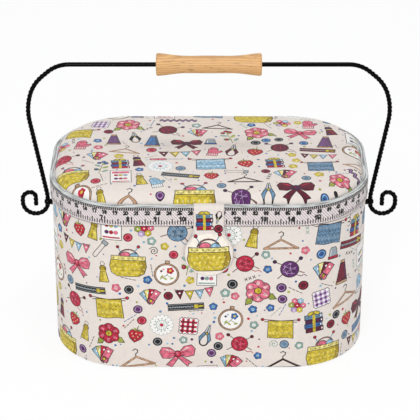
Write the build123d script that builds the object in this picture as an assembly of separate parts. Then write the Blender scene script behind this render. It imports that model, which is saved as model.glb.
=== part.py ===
from build123d import *
import math
import os

# Sewing carrier: a fabric-covered box with one padded lid, an iron bail handle and a front closure tab.
# Millimetres. +X runs along the box, -Y is the front, +Z is up. The origin is the centre of the base.

# ---- driving dimensions -------------------------------------------------------------------------------------
# Box plan, over the printed fabric
BOX_LENGTH = 304.0
BOX_DEPTH = 197.0
CORNER_RADIUS = 74.0
SMALLEST_CORNER = 2.0        # corner radius of an outline that is drawn in past the box's own

# Heights
SEAM_HEIGHT = 156.4          # middle of the gap between body and lid
SEAM_GAP = 0.3
LID_BAND_HEIGHT = 19.8       # seam to the top corner of the lid
LID_OVERHANG = 2.0           # how far the lid's ribbon stands out past the body

# Board, fabric and glue
BOARD = 2.6
BASE_BOARD = 3.0
FABRIC = 0.8
GLUE = 0.1
FELT = 1.2
BASE_PAD = 4.0
BASE_PAD_ROUND = 1.3

# Padded top of the lid
TRIM_WIDTH = 4.6
TRIM_HEIGHT = 1.6
TRIM_ROUND = 1.0
PAD_EDGE = 3.0               # upright edge of the padded cover beside the trim
PAD_RISE = 9.0               # from that edge to the crown
PAD_SLOPE_WIDTH = 60.0       # plan width over which the pad rises
PAD_FULLNESS = 8.0           # 1 is a straight slope, more is fuller
PAD_RINGS = 9
PAD_RING_SPREAD = 2.2        # over 1, the rings lie closer together near the edge

# Closure tab
TAB_STRAP_WIDTH = 28.6
TAB_DISC_RADIUS = 23.3
TAB_DISC_DROP = 28.1         # seam to the disc's centre
TAB_BOARD = 1.2
TAB_BOARD_GAP = 0.05         # between the board and the printed fabric in front of it
TAB_DOME = 3.0               # how far the padded disc swells in front of the strap
TAB_DOME_MARGIN = 1.2
TAB_DOME_ROUND = 0.9         # share of the swell that is rounded off
TAB_SHOULDER_ROUND = 5.0
TAB_GAP = 0.4                # between the tab and the ribbon behind it

# Magnets of the closure
MAGNET_RADIUS = 9.0
MAGNET_THICKNESS = 1.6
MAGNET_DROP = 2.3            # disc's centre to the magnets' centre
MAGNET_AIR = 0.8             # between the tab's magnet and the body

# Fabric hinge at the back
HINGE_END_MARGIN = 8.0       # from the hinge's end to where the back wall starts to curve
HINGE_LEAF = 22.0            # height of the lower leaf
HINGE_TOP_MARGIN = 4.7       # from the upper leaf to the lid board
HINGE_FABRIC = 0.7

# Bail handle
ROD_RADIUS = 2.2
PIVOT_DROP = 24.1            # seam to the pivots
BAIL_HEIGHT = 146.4          # pivots to the middle of the top bar
BAR_CORNER_IN = 13.9         # pivot inwards to the corner where the bar bends down
SHOULDER_OUT = 10.1          # pivot outwards to the shoulder corner
SHOULDER_DROP = 20.7         # top bar to the shoulder corner
ELBOW_OUT = 16.6             # pivot outwards to the elbow corner
ELBOW_DROP = 46.7            # top bar to the elbow corner
ARM_FOOT_RISE = 7.0          # pivot to the corner where the arm turns upright
BEND_RADII = (32.0, 40.0, 60.0, 40.0)
BEND_SHARE = 0.48            # most of a straight run that a bend at its end may take up
SCROLL_START = 1.2           # bottom of the bolt head up to where the scroll starts
SCROLL_RADII = (12.3, 12.4, 7.6, 5.4)
SCROLL_RISE = 3.5            # straight stretch on the outside of the scroll
SCROLL_TAIL = 8.5

# Pivots
EYE_RADIUS = 3.6
EYE_SWELL = 0.1              # how far the eye's faces stand out past the rod
BOLT_RADIUS = 1.2
BOLT_CLEARANCE = 0.05
BOLT_HEAD_RADIUS = 2.2
BOLT_HEAD_HEIGHT = 0.8
BOLT_HEAD_ROUND = 0.7        # share of the head's height that is rounded off
BOLT_END_GAP = 0.15          # between the bolt's end and the blind end of the nut
SPACER_LENGTH = 5.0
SPACER_RADIUS = 2.8          # at the rod
SPACER_FOOT_RADIUS = 3.4     # at the body
WASHER_RADIUS = 6.0
WASHER_THICKNESS = 1.0
NUT_RADIUS = 3.6
NUT_HEIGHT = 3.0
NUT_BORE = 2.25              # depth of the nut's blind hole
RUNNING_GAP = 0.1            # between faces that slide on each other

# Wooden grip
GRIP_LENGTH = 101.0
GRIP_END_RADIUS = 11.0
GRIP_WAIST_RADIUS = 8.5
GRIP_WAIST_SHARE = 0.6        # share of the half length where the waist starts to flare
GRIP_FLARE_SHARE = 0.87       # share where it has nearly reached its end radius
GRIP_EDGE_ROUND = 2.0
GRIP_BORE_CLEARANCE = 0.08

# Lift-out tray
TRAY_HEIGHT = 34.0
TRAY_WALL = 2.0
TRAY_NUT_GAP = 1.0           # between the tray's ends and the nuts, and so all round the tray
TRAY_TOP_DROP = 14.0         # seam to the top of the tray
TRAY_COLUMNS = 4
TRAY_ROWS = 2
TRAY_CELL_ROUND = 3.0
TRAY_SEAT_GAP = 0.1
LEDGE_WIDTH = 18.0
LEDGE_LENGTH = 90.0
LEDGE_HEIGHT = 12.0
LEDGE_LIP = 0.8

# Pincushion in the lid
PINCUSHION_LENGTH = 110.0
PINCUSHION_DEPTH = 62.0
PINCUSHION_THICKNESS = 11.0
PINCUSHION_CORNER = 13.5
PINCUSHION_ROUND = 4.5

# ---- worked-out places --------------------------------------------------------------------------------------
body_top = SEAM_HEIGHT - SEAM_GAP / 2
lid_bottom = SEAM_HEIGHT + SEAM_GAP / 2
lid_top = SEAM_HEIGHT + LID_BAND_HEIGHT

# Insets from the outside of the printed body cover. Negative is further out.
wall_outside = FABRIC + GLUE
wall_inside = wall_outside + BOARD
lining_outside = wall_inside + GLUE
lining_inside = lining_outside + FABRIC

lid_outside = -LID_OVERHANG
rim_outside = lid_outside + FABRIC + GLUE
rim_inside = rim_outside + BOARD
lid_lining_outside = rim_inside + GLUE
lid_lining_inside = lid_lining_outside + FABRIC
board_underside = lid_top - BOARD
trim_inside = lid_outside + TRIM_WIDTH

base_top = FELT + BASE_BOARD
pad_top = base_top + BASE_PAD

hinge_half = BOX_LENGTH / 2 - CORNER_RADIUS - HINGE_END_MARGIN
hinge_upper_top = board_underside - HINGE_TOP_MARGIN

lid_front = -BOX_DEPTH / 2 - LID_OVERHANG
tab_back = lid_front - TAB_GAP
tab_board_back = tab_back - HINGE_FABRIC
tab_board_front = tab_board_back - TAB_BOARD
tab_front = tab_board_front - FABRIC
disc_height = SEAM_HEIGHT - TAB_DISC_DROP
magnet_height = disc_height - MAGNET_DROP

wall_end = BOX_LENGTH / 2
lining_end = wall_end - lining_inside
spacer_end = wall_end + SPACER_LENGTH
eye_half = ROD_RADIUS + EYE_SWELL
pivot_offset = spacer_end + RUNNING_GAP + eye_half
pivot_height = SEAM_HEIGHT - PIVOT_DROP
bar_height = pivot_height + BAIL_HEIGHT
bolt_hole = BOLT_RADIUS + BOLT_CLEARANCE
nut_end = lining_end - WASHER_THICKNESS - NUT_HEIGHT

tray_inset = BOX_LENGTH / 2 - nut_end + TRAY_NUT_GAP
tray_top = SEAM_HEIGHT - TRAY_TOP_DROP
tray_bottom = tray_top - TRAY_HEIGHT
ledge_top = tray_bottom - TRAY_SEAT_GAP


# ---- shared shapes ------------------------------------------------------------------------------------------
def outline(inset):
    """The box's plan, drawn in by inset."""
    length = BOX_LENGTH - 2 * inset
    depth = BOX_DEPTH - 2 * inset
    return RectangleRounded(length, depth, max(CORNER_RADIUS - inset, SMALLEST_CORNER))


def slab(inset, low, high):
    """A plate of the box's plan between two heights."""
    return Pos(0, 0, low) * extrude(outline(inset), high - low)


def band(outer_inset, inner_inset, low, high):
    """A wall that follows the box's plan."""
    return slab(outer_inset, low, high) - slab(inner_inset, low, high)


def block(x_range, y_range, z_range):
    """A box between three pairs of limits."""
    size = [high - low for low, high in (x_range, y_range, z_range)]
    middle = [(high + low) / 2 for low, high in (x_range, y_range, z_range)]
    return Pos(*middle) * Box(*size)


def rod_along_x(radius, start, end, height):
    """A cylinder along X at the pivots' depth, between two places on X."""
    return Pos((start + end) / 2, 0, height) * Rot(0, 90, 0) * Cylinder(radius, abs(end - start))


def rod_along_y(radius, start, end, height):
    """A cylinder along Y on the box's middle line, between two places on Y."""
    return Pos(0, (start + end) / 2, height) * Rot(90, 0, 0) * Cylinder(radius, abs(end - start))


def pivot_holes(shape):
    """The shape with the two holes that the pivot bolts pass through."""
    reach = pivot_offset + EYE_RADIUS
    return shape - rod_along_x(bolt_hole, -reach, reach, pivot_height)


# ---- body ---------------------------------------------------------------------------------------------------
def make_base_fabric():
    return slab(0, 0, FELT)


def make_base_board():
    return slab(wall_inside, FELT, base_top)


def make_wall_board():
    wall = band(wall_outside, wall_inside, FELT, body_top - FABRIC)
    pocket_back = -BOX_DEPTH / 2 + wall_outside + MAGNET_THICKNESS
    pocket = rod_along_y(MAGNET_RADIUS + GLUE, -BOX_DEPTH / 2, pocket_back, magnet_height)
    return pivot_holes(wall - pocket)


def make_body_cover():
    side = band(0, FABRIC, FELT, body_top)
    turned_edge = band(0, wall_inside, body_top - FABRIC, body_top)
    return pivot_holes(side + turned_edge)


def make_body_lining():
    return pivot_holes(band(lining_outside, lining_inside, base_top, body_top))


def make_base_lining():
    pad = slab(lining_inside + GLUE, base_top, pad_top)
    return fillet(pad.edges().group_by(Axis.Z)[-1], BASE_PAD_ROUND)


def make_body_magnet():
    front = -BOX_DEPTH / 2 + wall_outside
    return rod_along_y(MAGNET_RADIUS, front, front + MAGNET_THICKNESS, magnet_height)


def make_hinge_lower():
    back = BOX_DEPTH / 2 + GLUE
    return block((-hinge_half, hinge_half), (back, back + HINGE_FABRIC), (body_top - HINGE_LEAF, body_top))


def make_ledge(side):
    """A card ledge on the end wall, with the tray's end resting on it."""
    outer = lining_end - GLUE
    wedge = Plane.XZ * make_face(
        Polyline(
            (outer, ledge_top),
            (outer - LEDGE_WIDTH, ledge_top),
            (outer - LEDGE_WIDTH, ledge_top - LEDGE_LIP),
            (outer, ledge_top - LEDGE_HEIGHT),
            close=True,
        )
    )
    ledge = extrude(wedge, LEDGE_LENGTH / 2, both=True)
    ledge = ledge & slab(lining_inside + GLUE, ledge_top - LEDGE_HEIGHT, ledge_top)
    return ledge if side > 0 else mirror(ledge, Plane.YZ)


# ---- tray ---------------------------------------------------------------------------------------------------
def make_tray():
    """A moulded tray with equal compartments, rounded like the box at its outside."""
    tray = slab(tray_inset, tray_bottom, tray_top)
    inner = slab(tray_inset + TRAY_WALL, tray_bottom + TRAY_WALL, tray_top)
    half_length = BOX_LENGTH / 2 - tray_inset - TRAY_WALL
    half_depth = BOX_DEPTH / 2 - tray_inset - TRAY_WALL
    cell_length = (2 * half_length + TRAY_WALL) / TRAY_COLUMNS
    cell_depth = (2 * half_depth + TRAY_WALL) / TRAY_ROWS
    cell_height = TRAY_HEIGHT - TRAY_WALL
    for column in range(TRAY_COLUMNS):
        for row in range(TRAY_ROWS):
            x = -half_length - TRAY_WALL / 2 + (column + 0.5) * cell_length
            y = -half_depth - TRAY_WALL / 2 + (row + 0.5) * cell_depth
            middle = tray_bottom + TRAY_WALL + cell_height / 2
            cell = Pos(x, y, middle) * Box(cell_length - TRAY_WALL, cell_depth - TRAY_WALL, cell_height)
            pocket = cell & inner
            upright = pocket.edges().filter_by(Axis.Z)
            tray -= fillet(upright, TRAY_CELL_ROUND)
    return tray


# ---- lid ----------------------------------------------------------------------------------------------------
def make_lid_rim():
    rim = band(rim_outside, rim_inside, lid_bottom, board_underside)
    face = BOX_DEPTH / 2 - rim_outside
    recess = block(
        (-hinge_half - GLUE, hinge_half + GLUE),
        (face - HINGE_FABRIC - GLUE, face + GLUE),
        (lid_bottom, hinge_upper_top + GLUE),
    )
    return rim - recess


def make_hinge_upper():
    face = BOX_DEPTH / 2 - rim_outside
    return block((-hinge_half, hinge_half), (face - HINGE_FABRIC, face), (lid_bottom, hinge_upper_top))


def make_lid_board():
    return slab(rim_outside, board_underside, lid_top)


def dome(skin):
    """The padded top of the lid: an upright edge, then a slope that flattens towards the middle."""
    edge = trim_inside + GLUE + skin
    foot = lid_top + PAD_EDGE - skin
    sections = []
    for ring in range(PAD_RINGS + 1):
        way = (ring / PAD_RINGS) ** PAD_RING_SPREAD
        rise = PAD_RISE * (1 - (1 - way) ** PAD_FULLNESS)
        sections.append(Pos(0, 0, foot + rise) * outline(edge + way * PAD_SLOPE_WIDTH))
    return slab(edge, lid_top, foot) + loft(sections, ruled=True)


def make_lid_pad():
    return dome(FABRIC + GLUE)


def make_lid_cover():
    return dome(0) - dome(FABRIC)


def make_trim():
    ring = band(lid_outside, trim_inside, lid_top, lid_top + TRIM_HEIGHT)
    return fillet(ring.edges().group_by(Axis.Z)[-1], TRIM_ROUND)


def make_ribbon():
    return band(lid_outside, lid_outside + FABRIC, lid_bottom, lid_top)


def make_lid_lining():
    side = band(lid_lining_outside, lid_lining_inside, lid_bottom, board_underside - GLUE)
    ceiling = slab(lid_lining_outside, board_underside - GLUE - FABRIC, board_underside - GLUE)
    return side + ceiling


def make_pincushion():
    top = board_underside - 2 * GLUE - FABRIC
    cushion = block(
        (-PINCUSHION_LENGTH / 2, PINCUSHION_LENGTH / 2),
        (-PINCUSHION_DEPTH / 2, PINCUSHION_DEPTH / 2),
        (top - PINCUSHION_THICKNESS, top),
    )
    cushion = fillet(cushion.edges().filter_by(Axis.Z), PINCUSHION_CORNER)
    return fillet(cushion.edges().group_by(Axis.Z)[0], PINCUSHION_ROUND)


# ---- closure tab --------------------------------------------------------------------------------------------
def tab_outline(margin, top):
    """The paddle shape seen from the front: a strap that widens into a disc."""
    half = TAB_STRAP_WIDTH / 2 - margin
    strap = Pos(0, (top + disc_height) / 2) * Rectangle(2 * half, top - disc_height)
    paddle = strap + Pos(0, disc_height) * Circle(TAB_DISC_RADIUS - margin)
    neck = [v for v in paddle.vertices() if disc_height < v.Y < top - margin]
    return fillet(neck, TAB_SHOULDER_ROUND)


def stand_up(sketch, front, back):
    """A sketch drawn seen from the front, given its thickness between two places on Y."""
    upright = Plane(origin=(0, back, 0), x_dir=(1, 0, 0), z_dir=(0, -1, 0)) * sketch
    return extrude(upright, back - front)


def make_tab_board():
    return stand_up(tab_outline(FABRIC + GLUE, lid_top), tab_board_front, tab_board_back)


def make_tab_cover():
    """Printed fabric over the board, with a padded dome on the disc."""
    shell = stand_up(tab_outline(0, lid_top + GLUE), tab_front, tab_board_back)
    cavity = stand_up(tab_outline(FABRIC, lid_top + GLUE), tab_board_front - TAB_BOARD_GAP, tab_board_back)
    disc = rod_along_y(TAB_DISC_RADIUS - TAB_DOME_MARGIN, tab_front, tab_front - TAB_DOME, disc_height)
    disc = fillet(disc.edges().group_by(Axis.Y)[0], TAB_DOME * TAB_DOME_ROUND)
    return shell - cavity + disc


def make_tab_lining():
    return stand_up(tab_outline(GLUE, lid_top), tab_board_back, tab_back)


def make_tab_magnet():
    """The magnet's covered boss on the back of the disc, below the lid's band."""
    return rod_along_y(MAGNET_RADIUS, tab_back, -BOX_DEPTH / 2 - MAGNET_AIR, magnet_height)


def make_tab_anchor():
    """The end of the strap, stitched down over the trim."""
    top = lid_top + TRIM_HEIGHT
    half = TAB_STRAP_WIDTH / 2
    return block((-half, half), (lid_front, lid_front + TRIM_WIDTH), (top, top + FABRIC))


# ---- handle -------------------------------------------------------------------------------------------------
def bend_radii(corners):
    """The radius of each bend, which its two straight runs have room for."""
    radii = []
    for wanted, before, corner, after in zip(BEND_RADII, corners, corners[1:], corners[2:]):
        turn = (corner - before).get_angle(after - corner)
        room = BEND_SHARE * min((corner - before).length, (after - corner).length)
        radii.append(min(wanted, room / math.tan(math.radians(turn / 2))))
    return radii


def half_bail():
    """The middle line of the right half of the bail, from the middle of the bar to the end of the scroll."""
    corners = [
        Vector(0, bar_height),
        Vector(pivot_offset - BAR_CORNER_IN, bar_height),
        Vector(pivot_offset + SHOULDER_OUT, bar_height - SHOULDER_DROP),
        Vector(pivot_offset + ELBOW_OUT, bar_height - ELBOW_DROP),
        Vector(pivot_offset, pivot_height + ARM_FOOT_RISE),
        Vector(pivot_offset, pivot_height - BOLT_HEAD_RADIUS + SCROLL_START),
    ]
    arm = FilletPolyline(*corners, radius=bend_radii(corners))
    pieces = [arm]
    start = corners[-1]
    heading = Vector(0, -1)
    for radius, run in zip(SCROLL_RADII, (0, SCROLL_RISE, 0, SCROLL_TAIL)):
        turn = JernArc(start, heading, radius, 90)
        pieces.append(turn)
        start = turn @ 1
        heading = turn % 1
        if run:
            straight = Line(start, start + heading * run)
            pieces.append(straight)
            start = straight @ 1
    return Plane.XZ * Curve(pieces)


def make_rod():
    """The bail: one rod, swept along its middle line, with a forged eye at each pivot."""
    right = half_bail()
    path = Wire(right.edges())
    profile = Plane(origin=path @ 0, z_dir=path % 0) * Circle(ROD_RADIUS)
    half = sweep(profile, path=path)
    rod = half + mirror(half, Plane.YZ)
    for side in (-1, 1):
        inner = side * (pivot_offset - eye_half)
        outer = side * (pivot_offset + eye_half)
        rod += rod_along_x(EYE_RADIUS, inner, outer, pivot_height)
    return pivot_holes(rod)


def make_grip():
    """A turned grip, waisted in the middle, that spins on the bar."""
    half = GRIP_LENGTH / 2
    bore = ROD_RADIUS + GRIP_BORE_CLEARANCE
    swell = GRIP_END_RADIUS - GRIP_WAIST_RADIUS
    right = [
        (GRIP_WAIST_SHARE * half, GRIP_WAIST_RADIUS + 0.12 * swell),
        (GRIP_FLARE_SHARE * half, GRIP_WAIST_RADIUS + 0.8 * swell),
        (half, GRIP_END_RADIUS),
    ]
    left = [(-along, radius) for along, radius in reversed(right)]
    waist = Spline(*left, (0, GRIP_WAIST_RADIUS), *right)
    sides = Polyline((half, GRIP_END_RADIUS), (half, bore), (-half, bore), (-half, GRIP_END_RADIUS))
    profile = make_face(Curve([waist, sides]))
    grip = revolve(profile, Axis.X)
    rims = grip.edges().filter_by(GeomType.CIRCLE).sort_by(SortBy.RADIUS)[-2:]
    return Pos(0, 0, bar_height) * fillet(rims, GRIP_EDGE_ROUND)


# ---- pivots -------------------------------------------------------------------------------------------------
def make_bolt(side):
    inner = lining_end - WASHER_THICKNESS - NUT_BORE + BOLT_END_GAP
    outer = pivot_offset + eye_half + RUNNING_GAP
    shank = rod_along_x(BOLT_RADIUS, side * inner, side * outer, pivot_height)
    head = rod_along_x(BOLT_HEAD_RADIUS, side * outer, side * (outer + BOLT_HEAD_HEIGHT), pivot_height)
    rim = head.edges().sort_by(Axis.X)[-1 if side > 0 else 0]
    return shank + fillet(rim, BOLT_HEAD_HEIGHT * BOLT_HEAD_ROUND)


def make_spacer(side):
    cone = Cone(SPACER_FOOT_RADIUS, SPACER_RADIUS, SPACER_LENGTH)
    spacer = Pos((spacer_end + wall_end) / 2, 0, pivot_height) * Rot(0, 90, 0) * cone
    spacer = pivot_holes(spacer)
    return spacer if side > 0 else mirror(spacer, Plane.YZ)


def make_washer(side):
    inner = lining_end - WASHER_THICKNESS
    return pivot_holes(rod_along_x(WASHER_RADIUS, side * inner, side * lining_end, pivot_height))


def make_nut(side):
    """A low cap nut: a hexagon, blind over the bolt."""
    face = lining_end - WASHER_THICKNESS
    hexagon = extrude(RegularPolygon(NUT_RADIUS, 6), NUT_HEIGHT)
    nut = hexagon - Cylinder(bolt_hole, 2 * NUT_BORE)
    nut = Pos(face, 0, pivot_height) * Rot(0, -90, 0) * nut
    return nut if side > 0 else mirror(nut, Plane.YZ)


# ---- output -------------------------------------------------------------------------------------------------
parts = {
    "base_fabric": make_base_fabric(),
    "base_board": make_base_board(),
    "wall_board": make_wall_board(),
    "body_cover": make_body_cover(),
    "body_lining": make_body_lining(),
    "base_lining": make_base_lining(),
    "body_magnet": make_body_magnet(),
    "hinge_strip_lower": make_hinge_lower(),
    "tray": make_tray(),
    "lid_rim": make_lid_rim(),
    "hinge_strip_upper": make_hinge_upper(),
    "lid_board": make_lid_board(),
    "lid_pad": make_lid_pad(),
    "lid_cover": make_lid_cover(),
    "lid_trim": make_trim(),
    "tape_ribbon": make_ribbon(),
    "lid_lining": make_lid_lining(),
    "pincushion": make_pincushion(),
    "tab_anchor": make_tab_anchor(),
    "tab_board": make_tab_board(),
    "tab_cover": make_tab_cover(),
    "tab_lining": make_tab_lining(),
    "tab_magnet": make_tab_magnet(),
    "handle_rod": make_rod(),
    "grip": make_grip(),
}
for name, side in (("left", -1), ("right", 1)):
    parts[f"tray_ledge_{name}"] = make_ledge(side)
    parts[f"pivot_bolt_{name}"] = make_bolt(side)
    parts[f"pivot_spacer_{name}"] = make_spacer(side)
    parts[f"pivot_washer_{name}"] = make_washer(side)
    parts[f"pivot_nut_{name}"] = make_nut(side)

os.makedirs("parts", exist_ok=True)
for name, shape in parts.items():
    export_step(shape, f"parts/{name}.step")
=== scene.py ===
import random
from math import atan, atan2, ceil, cos, exp, hypot, pi, radians, sin, sqrt, tan, tau

import bpy
import numpy as np
from mathutils import Matrix, Vector, noise
from mathutils.geometry import delaunay_2d_cdt


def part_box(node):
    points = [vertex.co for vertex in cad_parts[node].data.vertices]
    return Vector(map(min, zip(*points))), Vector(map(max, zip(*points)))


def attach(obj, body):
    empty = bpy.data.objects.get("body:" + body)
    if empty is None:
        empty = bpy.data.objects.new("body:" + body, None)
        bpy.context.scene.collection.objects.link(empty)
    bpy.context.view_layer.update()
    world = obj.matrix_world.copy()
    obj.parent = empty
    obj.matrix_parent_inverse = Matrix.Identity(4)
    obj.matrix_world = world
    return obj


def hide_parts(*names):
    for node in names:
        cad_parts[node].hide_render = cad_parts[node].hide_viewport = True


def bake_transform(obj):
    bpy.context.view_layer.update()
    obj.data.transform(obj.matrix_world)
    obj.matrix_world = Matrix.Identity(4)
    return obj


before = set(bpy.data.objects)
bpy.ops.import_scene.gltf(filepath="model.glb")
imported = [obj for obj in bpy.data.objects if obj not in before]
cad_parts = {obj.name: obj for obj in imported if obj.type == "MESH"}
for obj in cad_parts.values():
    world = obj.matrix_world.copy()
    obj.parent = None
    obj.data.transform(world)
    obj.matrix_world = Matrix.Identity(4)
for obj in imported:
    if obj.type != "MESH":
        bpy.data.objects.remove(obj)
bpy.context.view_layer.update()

# A sewing carrier: printed cotton over board, a padded lid, an iron bail with a wooden grip, and a closure tab.
# +X runs along the box, -Y is the front, +Z is up. Shapes are worked out in millimetres and made in metres.

MM = 0.001


def span(node):
    """A CAD node's lowest and highest corners in millimetres."""
    return [Vector(corner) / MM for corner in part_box(node)]


BODY_HIGH = span("body_cover")[1]
LID_LOW, LID_HIGH = span("tape_ribbon")
CORNER = 74                      # corner radius of the body's plan
PRINT_SEED = 11


def unit(share):
    """The share, held between 0 and 1."""
    return min(1, max(0, share))


# ---- plan and section ----
class Plan:
    """A rounded rectangle seen from above, measured along its edge from the middle of the front."""

    def __init__(self, high, corner):
        self.corner, self.long, self.short = corner, high.x - corner, high.y - corner
        arc = pi / 2 * corner
        self.ends = [self.long, self.long + arc, self.long + arc + 2 * self.short]
        self.ends += [self.ends[2] + arc, self.ends[2] + arc + self.long]
        self.half_round = self.ends[4]

    def spoke(self, along):
        """The centre that the edge turns about at that place, and the outward direction."""
        way, side = min(abs(along), self.half_round), -1 if along < 0 else 1
        if way <= self.ends[0]:
            x, y, turn = way, -self.short, 0.0
        elif way <= self.ends[1]:
            x, y, turn = self.long, -self.short, (way - self.ends[0]) / self.corner
        elif way <= self.ends[2]:
            x, y, turn = self.long, way - self.ends[1] - self.short, pi / 2
        elif way <= self.ends[3]:
            x, y, turn = self.long, self.short, pi / 2 + (way - self.ends[2]) / self.corner
        else:
            x, y, turn = self.half_round - way, self.short, pi
        return Vector((side * x, y, 0)), Vector((side * sin(turn), -cos(turn), 0))

    def place(self, along, inset, height):
        centre, outward = self.spoke(along)
        return centre + outward * (self.corner - inset) + Vector((0, 0, height))

    def inset_of(self, x, y):
        """How far a point lies inside the edge."""
        over = Vector((max(abs(x) - self.long, 0), max(abs(y) - self.short, 0))).length
        return self.corner - over - min(max(abs(x) - self.long, abs(y) - self.short), 0)

    def marks(self, straight_step, arc_step):
        """Places along the whole edge, closer together in the bends."""
        half, start = [0.0], 0.0
        for k, end in enumerate(self.ends):
            count = max(1, ceil((end - start) / (arc_step if k in (1, 3) else straight_step)))
            half += [start + (end - start) * (n + 1) / count for n in range(count)]
            start = end
        return [-m for m in half[:0:-1]] + half


BODY = Plan(BODY_HIGH, CORNER)
LID = Plan(LID_HIGH, CORNER + LID_HIGH.x - BODY_HIGH.x)


def rounded(points, radii, steps=5):
    """The polyline with each of its inner corners turned into an arc of the radius given for it."""
    points = [Vector(p) for p in points]
    result = [points[0]]
    for before, corner, after, radius in zip(points, points[1:], points[2:], radii):
        back, ahead = (before - corner).normalized(), (after - corner).normalized()
        half = back.angle(ahead) / 2
        centre = corner + (back + ahead).normalized() * (radius / sin(half))
        start = corner + back * (radius / tan(half)) - centre
        end = corner + ahead * (radius / tan(half)) - centre
        swing = start.angle(end)
        for share in (k / steps for k in range(steps + 1)):
            spoke = start * sin((1 - share) * swing) + end * sin(share * swing)
            result.append(centre + spoke / sin(swing))
    return result + [points[-1]]


class Section:
    """A band's section: points (inset, height), lower end first, measured along from its start."""

    def __init__(self, points, start=0.0):
        runs = [(b - a) for a, b in zip(points, points[1:])]
        ways = [0.0]
        for run in runs:
            ways.append(ways[-1] + run.length)
        self.points, self.ways = points, [way + start for way in ways]
        near = [sum(runs[max(0, k - 1) : k + 1], Vector((0, 0))) for k in range(len(points))]
        self.tilts = [Vector((run.y, run.x)).normalized() for run in near]

    def at(self, way):
        """(inset, height) and the normal as (outward, upward)."""
        k = int(np.clip(np.searchsorted(self.ways, way) - 1, 0, len(self.ways) - 2))
        share = unit((way - self.ways[k]) / (self.ways[k + 1] - self.ways[k]))
        return self.points[k].lerp(self.points[k + 1], share), self.tilts[k].lerp(self.tilts[k + 1], share)


# ---- the print's colours and the forms that it is drawn with ----
def srgb(red, green, blue):
    """A colour as it looks on screen, as the linear values that a material takes."""
    return tuple((c / 12.92) if c <= 0.04045 else ((c + 0.055) / 1.055) ** 2.4 for c in (red, green, blue)) + (1.0,)


def table(rows):
    """A name's words, for each row of text."""
    return {name: words for name, *words in (row.split() for row in rows.split(";"))}


INKS = {name: srgb(*map(float, levels)) for name, levels in table(
    "ground 0.905 0.868 0.836; line 0.06 0.045 0.06; yellow 0.83 0.74 0.22; mustard 0.66 0.56 0.13;"
    "lemon 0.92 0.87 0.55; crimson 0.74 0.115 0.235; maroon 0.38 0.04 0.15; pink 0.88 0.44 0.53;"
    "blush 0.95 0.76 0.76; sky 0.60 0.76 0.86; steel 0.42 0.56 0.68; blue 0.20 0.40 0.66; navy 0.11 0.16 0.34;"
    "purple 0.38 0.16 0.41; plum 0.27 0.10 0.29; lilac 0.76 0.66 0.82; leaf 0.64 0.68 0.28; olive 0.42 0.46 0.18;"
    "sage 0.56 0.68 0.64; teal 0.30 0.42 0.41; wood 0.78 0.62 0.48; brown 0.42 0.29 0.25; grey 0.62 0.65 0.67;"
    "white 0.955 0.945 0.93; cream 0.965 0.93 0.88; tape 0.905 0.86 0.855; black 0.04 0.035 0.045").items()}
INK_NAMES = list(INKS)
TONES = {name: dict(zip(("main", "dark", "light"), inks)) for name, inks in table(
    "yellow yellow mustard lemon; red crimson maroon pink; wine maroon plum crimson; pink pink crimson blush;"
    "sky sky steel white; blue blue navy sky; dark steel line grey; purple purple plum lilac; green leaf olive lemon;"
    "sage sage teal white; brown wood brown blush; ink line brown grey").items()}


def oval(x, y, across, up=None, turn=0.0, count=None):
    up = across if up is None else up
    count = int(count or max(7, min(26, int(6 + 1.7 * max(across, up)))))
    spin = Matrix.Rotation(turn, 2)
    ring = [(tau * k / count) for k in range(count)]
    return [Vector((x, y)) + spin @ Vector((across * cos(a), up * sin(a))) for a in ring]


def plate(low_x, low_y, high_x, high_y):
    return corners(low_x, low_y, high_x, low_y, high_x, high_y, low_x, high_y)


def corners(*numbers):
    return [Vector(pair) for pair in zip(numbers[::2], numbers[1::2])]


def arc(x, y, radius, start, end, count=7, squeeze=1.0):
    """Points on an arc between two angles, in degrees."""
    angles = [radians(start + (end - start) * k / (count - 1)) for k in range(int(count))]
    return [Vector((x + radius * cos(a), y + radius * squeeze * sin(a))) for a in angles]


def turning(ring):
    """Twice the polygon's area, negative where it runs clockwise."""
    return sum(a.cross(b) for a, b in zip(ring, ring[1:] + ring[:1]))


def edged(ink, polygon, rim, by):
    """A shape over a copy of it that is a little larger all round, which shows as a thin drawn line."""
    ring = polygon if turning(polygon) > 0 else polygon[::-1]
    larger = []
    for before, here, after in zip(ring[-1:] + ring[:-1], ring, ring[1:] + ring[:1]):
        one, two = (here - before).normalized(), (after - here).normalized()
        out = Vector((one.y + two.y, -one.x - two.x))
        larger.append(here + out.normalized() * (by / max(0.5, out.length / 2)))
    return [(rim, larger), (ink, polygon)]


def stroke(ink, points, width):
    """A drawn line, as one small plate for each of its runs."""
    shapes = []
    for a, b in zip(points, points[1:]):
        along = (b - a).normalized() * width / 2
        aside = Vector((-along.y, along.x))
        shapes.append((ink, [a - along - aside, b + along - aside, b + along + aside, a - along + aside]))
    return shapes


def stitches(start, end, ink):
    """A sewn run between two points."""
    count = max(1, round((end - start).length / 1.6))
    ends = [(start.lerp(end, (k + 0.2) / count), start.lerp(end, (k + 0.75) / count)) for k in range(count)]
    return [shape for pair in ends for shape in stroke(ink, pair, 0.35)]


def moved(shapes, x=0.0, y=0.0, turn=0.0, scale=1.0):
    """The shapes turned, scaled and set down elsewhere."""
    spin, shift = Matrix.Rotation(turn, 2) * scale, Vector((x, y))
    return [(ink, [spin @ p + shift for p in polygon]) for ink, polygon in shapes]


# ---- motifs: each is one sewing notion, drawn about its own centre in the inks of one tone ----
def ring(count, start=0.0):
    """The directions of evenly spaced spokes."""
    return [(cos(a), sin(a)) for a in (tau * k / count + start for k in range(count))]


def text(points):
    return " ".join(f"{x} {y}" for x, y in points)


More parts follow.
